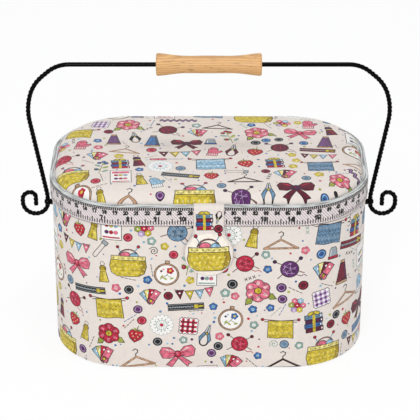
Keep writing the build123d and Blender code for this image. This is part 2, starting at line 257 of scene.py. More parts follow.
def wool(turn, offset):
    """One bow of wool on a ball, curved across it."""
    reach = sqrt(max(1, 60 - offset * offset)) * 0.82
    bow = [(reach * sin(a), offset + 1.8 * cos(a)) for a in (-1.2, -0.7, -0.2, 0.3, 0.8, 1.2)]
    return f"t {turn + 0.12 * offset / 5} 0 0; l {WOOL[offset]} 0.42 {text(bow)}"


WOOL = {-5.2: "dark", -2.6: "light", 0.2: "dark", 3.0: "light"}
PINKED = [(-8.5 + 17 * step / 6 + out, -8.5 - (1 if out else 0)) for step in range(6) for out in (0, 1.4)]
PINKED = [Matrix.Rotation(pi / 2 * k, 2) @ Vector(p) for k in range(4) for p in PINKED]
CHECKS = [(-7.2, -4.6), (-2.0, 0.6), (3.2, 5.8)]
WAVE = [(x, 1.5 + 1.7 * sin(x * 1.05)) for x in range(-18, 19)]
THREAD = [(x, 3.4 * sin(x / 3.4)) for x in np.arange(-15, 11, 1.6)]

# Each string holds rows of a form's letter, an ink or a part of the tone, and the form's numbers. b is a plate, o an
# oval and p a polygon; l is a line and a an arc, with their width first. A capital has a thin line round it, of its own
# ink and width where they follow it. t turns and shifts the rest of its string. ~ draws its string on both sides.
DRAWINGS = {
    "wool_ball": [
        "l brown 0.9 -13 -8 12 9; l brown 0.9 13 -7 -12 10; O dark 12.6 9.5 1.5; O dark -12.6 10.5 1.5; O main 0 0 8.6",
        *(wool(turn, offset) for turn in (0.5, 1.6, 2.7) for offset in WOOL), "l main 0.8 5 -7 9 -9.5 13 -9 15 -11"],
    "work_bag": [
        "a brown 1.6 0 9 10 15 165 9 0.9; l steel 0.9 -4 8 -11 20; O crimson -11.3 20.5 1.3; l steel 0.9 2 8 10 21",
        "O crimson 10.3 21.5 1.3; O pink -3 10.5 5.2 4.4; O sky 6 10 4.4 3.8",
        "P main -17 9 -19 -2 -17 -10 -11 -13.5 11 -13.5 17 -10 19 -2 17 9",
        "p dark 11 -13.4 17 -10 19 -2 17 9 13 9 14 -3; B light -17.6 5.4 17.6 9.6",
        *(f"o dark {x} 7.5 0.9; o light {x - 0.6} -10 0.85; o light {x + 2.5 - 0.6} -5 0.85; o light {x - 0.6} 0 0.85"
          for x in range(-15, 17, 5)), "l dark 0.5 -17 3.2 17 3.2"],
    "blossom": [
        "~P leaf 5 -5 9 -11 14 -11.5 12 -6; l olive 0.4 6 -6 13 -11",
        *(f"O main {6.2 * x} {6.2 * y} 5.2" for x, y in ring(6, 0.3)),
        *(f"o light {7.6 * x} {7.6 * y} 2.4 1.6 {tau * k / 6 + 0.3}; l dark 0.6 {2.6 * x} {2.6 * y} {5.8 * x} "
          f"{5.8 * y}" for k, (x, y) in enumerate(ring(6, 0.3))), "O yellow 0 0 3; o mustard 0.3 -0.4 1.4"],
    "bow_knot": [
        "~P main 1 -1 12 -11 9 -12 8 -14.5 -1 -3; P main 0 0 7 7.5 14 8.5 17 4 15 -3 8 -4;"
        "p light 4 3 9 6.5 13 6.6 9 4; l dark 0.7 2 0.6 9 1.6; l dark 0.5 2 -1 8 -1.6", "O dark 0 0 2.8 3.4; o main -0.5 0.6 1.5 2"],
    "gingham": [
        "P:dark white " + text(PINKED), *(f"b light {a} -8.5 {b} 8.5" for a, b in CHECKS),
        *(f"b light -8.5 {a} 8.5 {b}" for a, b in CHECKS),
        *(f"b main {a} {c} {b} {d}" for a, b in CHECKS for c, d in CHECKS)],
    "pennants": [
        "l brown 0.6 -20 4 -10 1.4 0 0.6 10 1.4 20 4",
        *(f"P {ink} {x - 3.9} {y} {x} {y - 9.5} {x + 3.9} {y}; o white {x} {y - 3} 1" for ink, x, y in (
            ("main", -15, 2.2875), ("yellow", -5, 0.7875), ("sky", 5, 0.7875), ("pink", 15, 2.2875)))],
    "hoop": [
        "B wood -1.6 11 1.6 15; O wood 0 0 12; O:brown white 0 0 10.4; l olive 0.6 -6 -6 -1 -2 3 3",
        "l olive 0.5 0 -1 5 -3; o leaf -4.5 -3 2.2 1 0.9; o leaf -1 -5 2.2 1 -0.4; o leaf 5.5 -4.2 2.2 1 0.3",
        "o leaf 1.2 3.5 2.2 1 1.6",
        *(f"o main {3.4 + 2.3 * x} {4.4 + 2.3 * y} 1.7" for x, y in ring(5)),
        "o yellow 3.4 4.4 1.3; o dark -5.4 3.2 1.3; o light -3.4 5.4 1"],
    "zip_strip": [
        "B main -19 -3.6 19 3.6; b grey -19 -0.9 19 0.9",
        *(f"b line {2 * k - 18.2} {0.9 * (k % 2) - 1.1} {2 * k - 18.2 + 0.9} {0.9 * (k % 2) + 0.3}" for k in range(19)),
        "B yellow 9 -2.2 13.4 2.2; O yellow 16.2 0 3.2 1.2; l light 0.45 -18.6 2.9 18.6 2.9",
        "l light 0.45 -18.6 -2.9 18.6 -2.9"],
    "thimble": [
        "P grey -5 -5 5 -5 4 4 2.6 6.4 -2.6 6.4 -4 4; B main -5.8 -6.4 5.8 -4; b dark -5.4 -6.2 5.4 -5.5",
        *(f"o steel {x + aside} {y} 0.45" for y, aside in ((-2.4, 0), (-0.4, 0.6), (1.6, 0), (3.6, 0.6))
          for x in (-2.6, 0, 2.6)), "p white -3.6 -3.4 -2.9 -3.4 -2.5 4.6 -3.1 4"],
    "hexagons": [
        f"O:line:0.25 {ink} {6.1 * x} {6.1 * y} 3.3 3.3 {pi / 6} 6; o white {6.1 * x} {6.1 * y} 0.8"
        for ink, (x, y) in zip("main light sky pink leaf lilac yellow".split(), [(0, 0)] + ring(6))],
    "folded": [
        *(f"B {ink} {x - 8.6} {y} {x + 8.6} {y + 4.2}; b {edge} {x - 8.6} {y + 1.5} {x + 6.8} {y + 2.2};"
          f"o white {x + 7.6} {y + 2} 0.7 1.3" for ink, edge, x, y in (
              ("main", "dark", 0.5, -9.4), ("blue", "navy", -0.6, -4.6), ("dark", "main", 0.3, 0.2),
              ("steel", "teal", -0.3, 5.0))),
        "b yellow -1.4 -9.6 1.4 9.4; O yellow -3 11 3 1.6 0.4; O yellow 3 11 3 1.6 -0.4"],
    "ric_rac": [
        "P main " + text([(x, y - 3.0) for x, y in WAVE] + WAVE[::-1]),
        "l light 0.5 " + text((x, y - 1.5) for x, y in WAVE)],
    "doily": [
        *(f"O:main:0.4 white {10.6 * x} {10.6 * y} 2.1" for x, y in ring(16)),
        "o light 0 0 10.2; o white 0 0 9.2; o main 0 0 6.4; o white 0 0 5.7",
        *(f"o dark {7.8 * x} {7.8 * y} 0.7; l main 0.4 {1.6 * x} {1.6 * y} {5.4 * x} {5.4 * y}" for x, y in ring(12)),
        "o crimson 0 0 2"],
    "crochet_hook": [
        "l steel 1.1 -17 0 17 0; l steel 0.8 17 0 18.6 0.9 17.4 1.7; P main -17 -1.5 -3 -2 0 -1 0 1 -3 2 -17 1.5",
        "b light -16 0.3 -3.4 0.9; b dark -9 -1.7 -7.6 1.7"],
    "sprig": [
        "l olive 0.7 -2 -13 -0.6 -5 0 2 1.6 11",
        *(f"O:olive:0.22 {ink} {side * 3.8} {y + 1.2} 3.4 1.5 {side * 0.6}" for ink, side, y in (
            ("sage", 1, -9), ("leaf", -1, -5), ("leaf", 1, -1), ("sage", -1, 3), ("leaf", 1, 7))),
        *(f"O main {x} {y} 1.7; o light {x - 0.5} {y + 0.5} 0.5"
          for x, y in ((1.8, 12.4), (-2.4, 10), (4.4, 9.6), (-4.6, -4.6)))],
    "thread_cone": [
        "B wood -7 -12.4 7 -9.8; B wood -2.2 9 2.2 11.8; P main -6.6 -9.8 6.6 -9.8 2.8 9 -2.8 9",
        "p dark 3.4 -9.8 6.4 -9.8 2.7 8.9 1.4 8.9",
        *(f"l light 0.35 {0.5 * k - 6.2} {2.5 * k - 8.6} {6.2 - 0.5 * k} {2.5 * k - 8.6 + 1.3}" for k in range(7)),
        "l main 0.5 6 -8 10 -6 11 -11 14 -12"],
    "tassel": [
        "a brown 0.6 0 10 2.4 -80 260 9; P main -2.6 2 2.6 2 5 -11 -5 -11; O dark 0 4.4 3.2 3.4",
        *(f"l {'dark' if x < 0 else 'light'} 0.45 {x * 0.6} 1.6 {x * 1.3} -10.6" for x in (-3, -1, 1, 3)),
        "b yellow -2.9 1.2 2.9 2.5"],
    "ribbon_roll": [
        "P main 2 -8.4 14 -8.4 17 -6.8 14.6 -5.6 17 -4 2 -4; O main 0 0 8.6; o light 0 0 7; o main 0 0 5.6",
        "o dark 0 0 4.4; o white 0 0 3; o brown 0 0 1.5; o white 5 -6.2 0.7; o white 8 -6.2 0.7; o white 11 -6.2 0.7"],
    "snips": [
        "~P grey 0.6 0 2.8 1 0.9 12 0.2 8; l white 0.35 1.2 1.4 0.8 9; P main 0.4 0.6 3.2 1 6.4 -6 4.2 -12 3.4 -6",
        "a dark 1.5 0 -10.6 4.2 -180 0 9; O yellow 0 0.6 1.2"],
    "pins": [
        f"t {turn} 0 0; l line 0.42 -9 0 8 0; O {ink} 9.4 0 1.7; o white 9 0.6 0.5"
        for ink, turn in (("main", 0.35), ("yellow", -0.5), ("blue", 1.2))],
    "flower_button": [
        *(f"o {ink} {out * cos(a)} {out * sin(a)} {size}" for ink, out, size in (
            ("dark", 2.5, 2.35), ("main", 2.4, 1.95)) for a in (0, 1.257, 2.513, 3.770, 5.027)),
        "o light 0 0 1.9; o line -0.7 0 0.42; o line 0.7 0 0.42"],
    "round_button": [
        "O main 0 0 4.4; o light 0 0 3.5; o main 0 0 2.9; o line -0.9 -0.9 0.45; o line -0.9 0.9 0.45",
        "o line 0.9 -0.9 0.45; o line 0.9 0.9 0.45"],
    "swatches": [
        *(f"t {0.62 - 0.41 * k} 0 -6; B {ink} -3.2 -2 3.2 14; o white 0 10.5 1.2; b dark -3.2 2 3.2 3"
          for k, ink in enumerate(("sky", "lemon", "main", "pink"))), "O yellow 0 -5.4 1.4"],
    "berry": [
        "P main 0 -8 5 -4 7.4 1 5.8 5 0 6.4 -5.8 5 -7.4 1 -5 -4",
        *(f"o lemon {spot} 0.55 0.85" for spot in ("-4 1.5", "0 2", "4 1.5", "-2.4 -1.6", "2.4 -1.6", "0 -5")),
        *(f"P:olive:0.25 leaf 0 5 {3.4 * cos(a - 0.25)} {5 + 3 * sin(a - 0.25)} {6.4 * cos(a)} "
          f"{5.6 + 3.4 * sin(a)}" for a in (pi * (0.1 + 0.2 * k) for k in range(5))),
        "l olive 0.8 0 6 1 11"],
    "knitting": [
        "l brown 1 -17 7.2 19 9.4; l brown 1 17 6.6 -19 10; O crimson 19.4 9.4 1.4; O crimson -19.4 10 1.4",
        "P main -13 8 -13.6 -12 -4 -13 6 -12 13.4 -13 13 8",
        *(f"l {ink} 0.5 {x - 1.3} {y + 1} {x} {y - 1} {x + 1.3} {y + 1}"
          for row, ink in enumerate(("light", "dark", "dark", "light", "dark")) for y in [4.6 - 3.7 * row]
          for x in (3.7 * k - 11.2 for k in range(7)))],
    "button_card": [
        "B white -10 -13 10 13; b light -8.6 6.6 8.6 11.4; b main -8.6 -11.6 8.6 -10",
        *(f"O:line:0.25 {ink} {x} {y} 2; o line {x - 0.5} {y} 0.3; o line {x + 0.5} {y} 0.3" for ink, x, y in (
            ("main", -4.6, 2.6), ("yellow", 0, 2.6), ("sky", 4.6, 2.6), ("purple", -4.6, -5), ("main", 0, -5),
            ("pink", 4.6, -5)))],
    "mitten": [
        "P main -4.6 -4 4.6 -4 6.2 -2.4 9.6 1.2 8.4 3.4 4.8 1.6 4.4 7 1.6 10 -2.4 9.6 -4.8 6; B light -5.2 -9 5.2 -4",
        *(f"b dark {x - 0.3} -8.8 {x + 0.3} -4.2" for x in (-3.4, -1.1, 1.2, 3.5)),
        *(f"o dark {spot} 0.8 0.8 0 4" for spot in ("-2 0", "1.6 0", "-0.2 3", "-2.2 6", "1.6 6"))],
    "hanger": [
        "l line 0.9 0 4 0 7.5 2 9 2.6 11.4 0.4 13 -2 11.6; l dark 2.2 0 4.4 -16 -5 16 -5 0 4.4",
        "l main 1.3 0 4.4 -16 -5 16 -5 0 4.4"],
    "needle": ["l main 0.65 " + text(THREAD) + "; l line 0.75 -13 -4 13 3.4; o white 11 2.85 0.9 0.35 0.27"],
    "safety_pin": ["l line 0.65 9 1.9 -9 2.2 -11.2 1 -11.2 -1 -9 -2.2 9 -1.9; B grey 7.6 -2.6 11 2.6"],
}
DOODLES = [  # running stitches, crosses, a curl of thread and a chain of loops
    [f"l main 0.75 {x} 0 {x + 2.4} 0" for x in (-8, -4, 0, 4)],
    [f"l main 0.75 {x - 1.3} {-1.3 * way} {x + 1.3} {1.3 * way}" for x in (-4.4, 0, 4.4) for way in (-1, 1)],
    ["l main 0.75 " + text((out * cos(0.8 * k), out * sin(0.8 * k)) for k in range(14)
                           for out in [0.6 + 0.32 * k])],
    [f"a main 0.75 {x} 0 2.4 200 -40 7" for x in (-6.4, -2.2, 2.0, 6.2)],
]
FORMS = {"b": plate, "o": oval, "p": corners, "l": corners, "a": arc}
RIM = ["line", 0.66]      # the usual thin line round a shape: its ink and its width


def drawn(name, tone, rng=None):
    """A motif's shapes in the inks of a tone. A doodle's form and a speck's size are drawn by lot."""
    if name == "speck":
        strings = [f"o main 0 0 {rng.uniform(0.7, 1.6)}"]
    else:
        strings = DOODLES[rng.randrange(len(DOODLES))] if name == "doodle" else DRAWINGS[name]
    inks, shapes = TONES[tone], []
    for string, side in ((s, side) for s in strings for side in ((-1, 1) if s[0] == "~" else (1,))):
        turned = None
        for form, *words in (row.split() for row in string.strip("~").split(";")):
            if form == "t":
                turned = [float(word) for word in words]
                continue
            ink, numbers = inks.get(words[0], words[0]), [float(word) for word in words[1:]]
            width = numbers.pop(0) if form in "la" else None
            numbers[::2] = [side * number for number in numbers[::2]]
            polygon = FORMS[form[0].lower()](*numbers)
            if width:
                drawing = stroke(ink, polygon, width)
            elif form[0].isupper():
                rim, by = form.split(":")[1:] + RIM[form.count(":") :]
                drawing = edged(ink, polygon, inks.get(rim, rim), float(by))
            else:
                drawing = [(ink, polygon)]
            shapes += moved(drawing, turned[1], turned[2], turned[0]) if turned else drawing
    return shapes


# In classes by size, large ones first. Each has the tries that a piece gets to find a free spot, and rows of a motif,
# how many to a square decimetre, how far it may tilt, and its tones.
MOTIFS = (
    (130, "work_bag 0.45 0.06 yellow; bow_knot 0.5 0.25 pink wine; blossom 0.5 0.4 red pink;"
          "wool_ball 1.0 0.3 red wine purple dark; hoop 0.5 0.15 red blue; pennants 0.6 0.12 wine;"
          "doily 0.4 0.2 sky sage; swatches 0.8 0.2 red wine; knitting 0.7 0.12 yellow sky dark;"
          "button_card 0.6 0.1 red sage; hanger 1.0 0.15 brown ink"),
    (110, "zip_strip 2.0 0.3 blue wine purple ink; thread_cone 2.4 0.1 sage wine purple blue red;"
          "ribbon_roll 1.6 0.2 blue wine yellow; folded 2.2 0.15 red wine purple; gingham 1.2 0.2 purple wine dark;"
          "hexagons 0.8 0.4 red; snips 2.8 0.6 dark ink wine ink; tassel 1.2 0.2 yellow wine; sprig 1.2 0.5 red blue;"
          "ric_rac 1.0 1.6 purple green; berry 1.2 0.4 red; mitten 1.0 0.3 sky pink"),
    (40, "crochet_hook 5 1.6 green ink brown pink; needle 5 1.6 wine sky yellow; safety_pin 6 1.6 dark;"
         "thimble 5 0.3 blue red sky ink; pins 4 3.1 red pink; round_button 14 3.1 red blue purple ink wine dark;"
         "flower_button 9 3.1 pink blue yellow sage"),
    (20, "doodle 34 3.1 ink wine sage blue ink; speck 20 3.1 red sky green purple dark blue"),
)
MOTIF_GAP = 0.4      # clear cloth round each motif
SHRINK = 0.98        # the whole print's scale against its drawings
SQUARE_DECIMETRE = 1e4
PROBES = [(x, y) for x in (-0.7, 0, 0.7) for y in (-0.7, 0, 0.7)]      # looked at before a spot is tested in full


def scatter(low_u, high_u, low_v, high_v, rng):
    """Motifs strewn over a sheet without touching each other, as (ink, polygon)."""
    taken = np.zeros((int(high_v - low_v) + 1, int(high_u - low_u) + 1), bool)
    strewn, found = [], {}

    def cell(spot):
        return min(taken.shape[0] - 1, max(0, int(spot.y))), min(taken.shape[1] - 1, max(0, int(spot.x)))

    def many(density):
        return round(float(density) * (high_u - low_u) * (high_v - low_v) / SQUARE_DECIMETRE)

    for tries, rows in MOTIFS:
        pool = [(name, *entry) for name, entry in table(rows).items() for _ in range(many(entry[0]))]
        rng.shuffle(pool)
        for name, _, tilt, *tones in pool:
            tilt = float(tilt)
            shapes = moved(drawn(name, rng.choice(tones), rng), scale=SHRINK * rng.uniform(0.9, 1.08))
            xs, ys = zip(*(p for _, polygon in shapes for p in polygon))
            low, high = Vector((min(xs), min(ys))), Vector((max(xs), max(ys)))
            half_w, half_h = (high - low) / 2
            reach = hypot(half_w, half_h) + MOTIF_GAP
            probes = [Vector((x * half_w, y * half_h)) for x, y in PROBES]
            best = None
            for _ in range(tries):
                turn, u, v = rng.uniform(-tilt, tilt), rng.uniform(low_u, high_u), rng.uniform(low_v, high_v)
                spin, shift = Matrix.Rotation(turn, 2), Vector((u - low_u, v - low_v))
                if any(taken[cell(spin @ probe + shift)] for probe in probes):
                    continue
                cols = slice(max(0, int(u - reach - low_u)), int(u + reach - low_u) + 2)
                rows = slice(max(0, int(v - reach - low_v)), int(v + reach - low_v) + 2)
                window = taken[rows, cols]
                grid_v, grid_u = np.ogrid[0 : window.shape[0], 0 : window.shape[1]]
                off_u, off_v = grid_u + cols.start + low_u - u, grid_v + rows.start + low_v - v
                across = off_u * cos(turn) + off_v * sin(turn)
                up = off_v * cos(turn) - off_u * sin(turn)
                inside = (across / (half_w + MOTIF_GAP)) ** 6 + (up / (half_h + MOTIF_GAP)) ** 6 < 1
                if not (window & inside).any():
                    away = min(((p - Vector((u, v))).length for p in found.get(name, [])), default=1e9)
                    if best is None or away > best[0]:
                        best = (away, turn, Vector((u, v)), window, inside)
            if best:
                _, turn, spot, window, inside = best
                window |= inside
                found.setdefault(name, []).append(spot)
                shift = spot - Matrix.Rotation(turn, 2) @ ((low + high) / 2)
                strewn += moved(shapes, shift.x, shift.y, turn)
    return strewn


# ---- cloth sheets ----
TOGETHER = 1e-3      # points of a sheet that lie closer than this become one


def cut_sheet(outline, lines, shapes):
    """A flat sheet in triangles that keep the edge of each shape: (points, triangles, ink of each triangle)."""
    points, edges, faces, boxes = [], [], [], []
    for polygon in [outline] + [polygon for _, polygon in shapes]:
        faces.append(list(range(len(points), len(points) + len(polygon))))
        points += polygon if turning(polygon) > 0 else polygon[::-1]
        xs, ys = zip(*polygon)
        boxes.append((min(xs), max(xs), min(ys), max(ys)))
    for line in lines:
        start = len(points)
        points += [Vector(p) for p in line]
        edges += [(k, k + 1) for k in range(start, len(points) - 1)]
    points, _, triangles, _, _, owners = delaunay_2d_cdt(points, edges, faces, 0, TOGETHER, True)

    def in_box(spot, low_x, high_x, low_y, high_y):
        return low_x <= spot.x <= high_x and low_y <= spot.y <= high_y

    kept, inks = [], []
    for triangle, owner in zip(triangles, owners):
        if 0 in owner:
            a, b, c = (points[k] for k in triangle)
            kept.append(triangle if (b - a).cross(c - a) > 0 else triangle[::-1])
            over = [k - 1 for k in owner if k and in_box((a + b + c) / 3, *boxes[k])]
            inks.append(INK_NAMES.index(shapes[max(over)][0]) if over else -1)
    used = sorted({k for triangle in kept for k in triangle})
    renumber = {k: n for n, k in enumerate(used)}
    return [points[k] for k in used], [[renumber[k] for k in t] for t in kept], inks


def linked(name, data):
    """A new object of the data, in the scene."""
    made = bpy.data.objects.new(name, data)
    bpy.context.scene.collection.objects.link(made)
    return made


def make_object(name, places, faces, normals=None, flat=None, inks=None, ground="ground"):
    """A smooth mesh object. flat gives each corner's place on the cloth, and inks each face's colour."""
    mesh = bpy.data.meshes.new(name)
    mesh.from_pydata([tuple(p * MM) for p in places], [], [tuple(f) for f in faces])
    mesh.polygons.foreach_set("use_smooth", np.ones(len(faces), bool))
    if flat is not None:
        loops = np.array([k for f in faces for k in f])
        layer = mesh.uv_layers.new(name="cloth")
        layer.data.foreach_set("uv", np.array([tuple(p * MM) for p in flat], np.float32)[loops].ravel())
    if inks is not None:
        palette = np.array([INKS[n] for n in INK_NAMES] + [INKS[ground]], np.float32)
        each = np.repeat(np.array(inks), [len(f) for f in faces])
        layer = mesh.color_attributes.new(name="print", type="BYTE_COLOR", domain="CORNER")
        layer.data.foreach_set("color", palette[each].ravel())
    if normals is not None:
        mesh.normals_split_custom_set_from_vertices([tuple(n) for n in normals])
    mesh.update()
    return linked(name, mesh)


def sheet_of(name, outline, lines, shapes, place, ground="ground", flip=False):
    """A printed sheet: place(u, v) gives each point's position and normal."""
    points, triangles, inks = cut_sheet(outline, lines, shapes)
    places, normals = zip(*(place(p.x, p.y) for p in points))
    if flip:
        triangles, normals = [t[::-1] for t in triangles], [-n for n in normals]
    return make_object(name, places, triangles, normals, points, inks, ground)


def band_sheet(name, plan, section, shapes=(), **kind):
    """Cloth all round a plan, with its join in the middle of the back."""
    half, low, high = plan.half_round, section.ways[0], section.ways[-1]
    lines = [[(m, low), (m, high)] for m in plan.marks(14, 7.5)[1:-1]]
    lines += [[(-half, w), (half, w)] for w in section.ways[1:-1]]

    def place(u, v):
        at, tilt = section.at(v)
        return plan.place(u, at.x, at.y), plan.spoke(u)[1] * tilt.x + Vector((0, 0, tilt.y))

    return sheet_of(name, plate(-half, low, half, high), lines, shapes, place, **kind)


def top_sheet(name, plan, inset, height, shapes=(), rings=(), pitch=8.0, **kind):
    """Cloth across a plan, at the height that the function of x and y gives."""
    marks = plan.marks(20, 5)[:-1]
    lines = [[plan.place(m, r, 0).xy for m in marks + marks[:1]] for r in rings]
    wide, deep = plan.long + plan.corner - inset, plan.short + plan.corner - inset
    lines += [[(x, -deep), (x, deep)] for x in np.arange(-wide + pitch, wide, pitch)]
    lines += [[(-wide, y), (wide, y)] for y in np.arange(-deep + pitch, deep, pitch)]
    step = 0.2

    def place(x, y):
        here, east, north = height(x, y), height(x + step, y), height(x, y + step)
        return Vector((x, y, here)), Vector(((here - east) / step, (here - north) / step, 1)).normalized()

    return sheet_of(name, [plan.place(m, inset, 0).xy for m in marks], lines, shapes, place, **kind)


def lattice(rows, columns, row_gap=0, column_gap=0):
    """Quads between rows of points, closed on themselves where there is no gap."""
    quads = []
    for r, c in ((r, c) for r in range(rows - row_gap) for c in range(columns - column_gap)):
        here, above, right = r * columns, (r + 1) % rows * columns, (c + 1) % columns
        quads.append((here + c, here + right, above + right, above + c))
    return quads


def tube_faces(rings, around):
    """Quads along a tube, and its two ends."""
    last = (rings - 1) * around
    return lattice(rings, around, row_gap=1) + [tuple(range(around))[::-1], tuple(range(last, last + around))]


def joined(name, parts):
    """Several mesh objects as one."""
    bpy.ops.object.select_all(action="DESELECT")
    for part in parts:
        part.select_set(True)
    bpy.context.view_layer.objects.active = parts[0]
    bpy.ops.object.join()
    parts[0].name = parts[0].data.name = name
    return parts[0]


def dress(obj, material, body, stands_for):
    obj.data.materials.clear()
    obj.data.materials.append(material)
    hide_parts(*stands_for)
    if body:
        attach(obj, body)
    return obj


def ripple(*at):
    """Smooth noise between -1 and 1."""
    return noise.noise(Vector(at))


def rounded_edge(inside, width):
    """A quarter circle's rise from 0 to 1 over the edge's width."""
    return sqrt(max(0, 1 - (1 - unit(inside / width)) ** 2))


# ---- materials ----
BAND = 0.314         # how far apart a wave texture's bands are at a scale of 1


def new_look(name, **values):
    """A material with values for its shader's sockets, which are written with underscores."""
    material = bpy.data.materials.new(name)
    material.use_nodes = True
    for key, value in values.items():
        shader(material).inputs[key.replace("_", " ")].default_value = value
    return material


def shader(material):
    return material.node_tree.nodes["Principled BSDF"]


def wire(material, **outputs):
    for key, output in outputs.items():
        material.node_tree.links.new(output, shader(material).inputs[key.replace("_", " ")])
    return material


def add(owner, kind, inputs=None, output=0, **settings):
    """A new shader node's output. Its inputs are plain values or the outputs of other nodes."""
    node = owner.node_tree.nodes.new("ShaderNode" + kind)
    for key, value in settings.items():
        setattr(node, key, value)
    for key, value in (inputs or {}).items():
        if isinstance(value, bpy.types.NodeSocket):
            owner.node_tree.links.new(value, node.inputs[key])
        else:
            node.inputs[key].default_value = value
    return node.outputs[output]


def sums(owner, operation, one, two):
    return add(owner, "Math", {0: one, 1: two}, operation=operation)


def spread(owner, value, low, high, to_low=0.0, to_high=1.0):
    """The value's span from low to high, laid over another span."""
    span_of = {"Value": value, "From Min": low, "From Max": high, "To Min": to_low, "To Max": to_high}
    return add(owner, "MapRange", span_of)


def grain(owner, place, scale, detail, rough=0.5):
    inputs = {"Vector": place, "Scale": scale, "Detail": detail, "Roughness": rough}
    return add(owner, "TexNoise", inputs, "Fac")


def bands(owner, place, scale, axis, **inputs):
    inputs |= {"Vector": place, "Scale": scale}
    return add(owner, "TexWave", inputs, "Fac", wave_type="BANDS", bands_direction=axis)


def stretched(owner, place, scale):
    return add(owner, "Mapping", {"Vector": place, "Scale": scale})


def times(owner, color, value, share=1.0):
    """The colour times a value, as far as the share says."""
    value = add(owner, "CombineColor", {"Red": value, "Green": value, "Blue": value})
    return add(owner, "Mix", {0: share, 6: color, 7: value}, 2, data_type="RGBA", blend_type="MULTIPLY")


def tinted(owner, color, amount, dark, light):
    """The colour, made darker or lighter by a value from 0 to 1."""
    return times(owner, color, spread(owner, amount, 0, 1, dark, light))


def bumped(owner, *heights):
    """A normal from several (height, strength, distance in metres), one on top of another."""
    under = {}
    for height, strength, distance in heights:
        bump = {"Height": height, "Strength": strength, "Distance": distance} | under
        under = {"Normal": add(owner, "Bump", bump)}
    return under["Normal"]


def cotton(name, color=None, pitch=0.00055, depth=0.00006, puff=0.0, twill=None, crease_shade=0.0, rough=0.86, sheen=0.12,
           level=0.5):
    """Woven cloth on its own flat places. Without a colour it shows the print. A twill has a pitch, a turn and the
    darkness of its lines. Folds along the cloth get bumps, and painted shade as dark as the crease value says."""
    cloth = new_look(name, Roughness=rough, Sheen_Weight=sheen, Specular_IOR_Level=level)
    place = add(cloth, "UVMap", uv_map="cloth")
    uneven = {"Distortion": 0.8, "Detail": 1.0, "Detail Scale": 1.4}
    weave = sums(cloth, "MULTIPLY", *(bands(cloth, place, BAND / pitch, axis, **uneven) for axis in "XY"))
    if color is None:
        color = add(cloth, "VertexColor", layer_name="print")
        saturation = add(cloth, "SeparateColor", {"Color": color}, "Green", mode="HSV")
        pools = spread(cloth, grain(cloth, place, 300.0, 3.0), 0.3, 0.7, 0.52, 1.28)
        color = times(cloth, color, pools, spread(cloth, saturation, 0.15, 0.4))
    shade = tinted(cloth, color, grain(cloth, place, 140.0, 4.0, 0.6), 0.93, 1.05)
    shade = tinted(cloth, shade, weave, 0.955, 1.02)
    if twill:
        twill_pitch, slant, dark = twill
        turned = add(cloth, "Mapping", {"Vector": place, "Rotation": (0, 0, radians(slant))})
        lines = spread(cloth, bands(cloth, turned, BAND / twill_pitch, "X"), 0.72, 0.9)
        shade = tinted(cloth, shade, lines, 1.0, dark)
    heights = [(weave, 0.5, depth), (grain(cloth, place, 700.0, 3.0), 0.35, depth * 1.5)]
    # Painted shade: streaks of noise along the cloth darken its colour where it folds, and bump it there too.
    if crease_shade:
        crease_bumps_and_shade = spread(cloth, grain(cloth, stretched(cloth, place, (0.07, 1, 1)), 620.0, 2.0), 0.4, 0.52)
        shade = tinted(cloth, shade, crease_bumps_and_shade, crease_shade, 1.06)
        heights.append((crease_bumps_and_shade, 0.6, 0.0006))
    if puff:
        heights.append((grain(cloth, place, 45.0, 2.0), 0.5, puff))
    return wire(cloth, Base_Color=shade, Normal=bumped(cloth, *heights))


def solid_look(name, color, rough, scale, detail, tints=(0.9, 1.06), bump=(0.2, 0.0001), stretch=(1, 1, 1), **values):
    """A hard material with its own grain, placed by where it is on the object."""
    solid = new_look(name, Roughness=rough, **values)
    place = stretched(solid, add(solid, "TexCoord", output="Object"), stretch)
    worn = grain(solid, place, scale, detail, 0.6)
    roughness = spread(solid, worn, 0, 1, rough * 0.85, min(1, rough * 1.2))
    return wire(solid, Base_Color=tinted(solid, color, worn, *tints), Roughness=roughness,
                Normal=bumped(solid, (worn, *bump)))


def wood_look(name):
    """Pale lacquered wood, its grain along X."""
    wood = new_look(name, Roughness=0.48, Coat_Weight=0.15, Coat_Roughness=0.4)
    place = add(wood, "TexCoord", output="Object")
    along = stretched(wood, place, (0.05, 1, 1))
    rings = bands(wood, along, 150.0, "Z", Distortion=4.0, Detail=3.0, **{"Detail Scale": 1.2})
    pores = grain(wood, along, 2200.0, 2.0)
    ramp = add(wood, "ValToRGB", {"Fac": rings})
    for element, color in zip(ramp.node.color_ramp.elements, (srgb(0.80, 0.60, 0.38), srgb(0.90, 0.705, 0.46))):
        element.color = color
    flecks = spread(wood, grain(wood, stretched(wood, place, (0.12, 1, 1)), 780.0, 1.0), 0.6, 0.7)
    shade = tinted(wood, tinted(wood, ramp, pores, 0.84, 1.1), flecks, 1.0, 0.66)
    return wire(wood, Base_Color=shade, Normal=bumped(wood, (pores, 0.2, 0.0001), (rings, 0.1, 0.0001)))


PRINT = cotton("print_cotton")
LID_PRINT = cotton("lid_cotton", puff=0.0016)
TAPE = cotton("tape_twill", pitch=0.0004, twill=(0.0022, -40, 0.5), rough=0.7)
LINING = cotton("lining_cotton", srgb(0.93, 0.905, 0.85), puff=0.0012)
PAD_SATIN = cotton("pad_satin", srgb(0.80, 0.79, 0.77), pitch=0.0003, depth=0.00002, rough=0.42, sheen=0.2)
BASE_CLOTH = cotton("base_cloth", srgb(0.80, 0.78, 0.74), pitch=0.0009, depth=0.00015, rough=0.95)
# The trim's dark lengthwise streaks are painted shade in its folds.
SATIN = cotton("satin", srgb(0.81, 0.82, 0.815), 0.0003, 0.00002, crease_shade=0.46, rough=0.5, sheen=0.0, level=0.2)
ENAMEL = solid_look("black_enamel", srgb(0.015, 0.015, 0.017), 0.16, 90.0, 3.0, bump=(0.2, 0.0002),
                    Specular_IOR_Level=0.05)
PLASTIC = solid_look("milky_plastic", srgb(0.90, 0.91, 0.90), 0.3, 60.0, 2.0, (0.97, 1.02), (0.1, 0.0003))
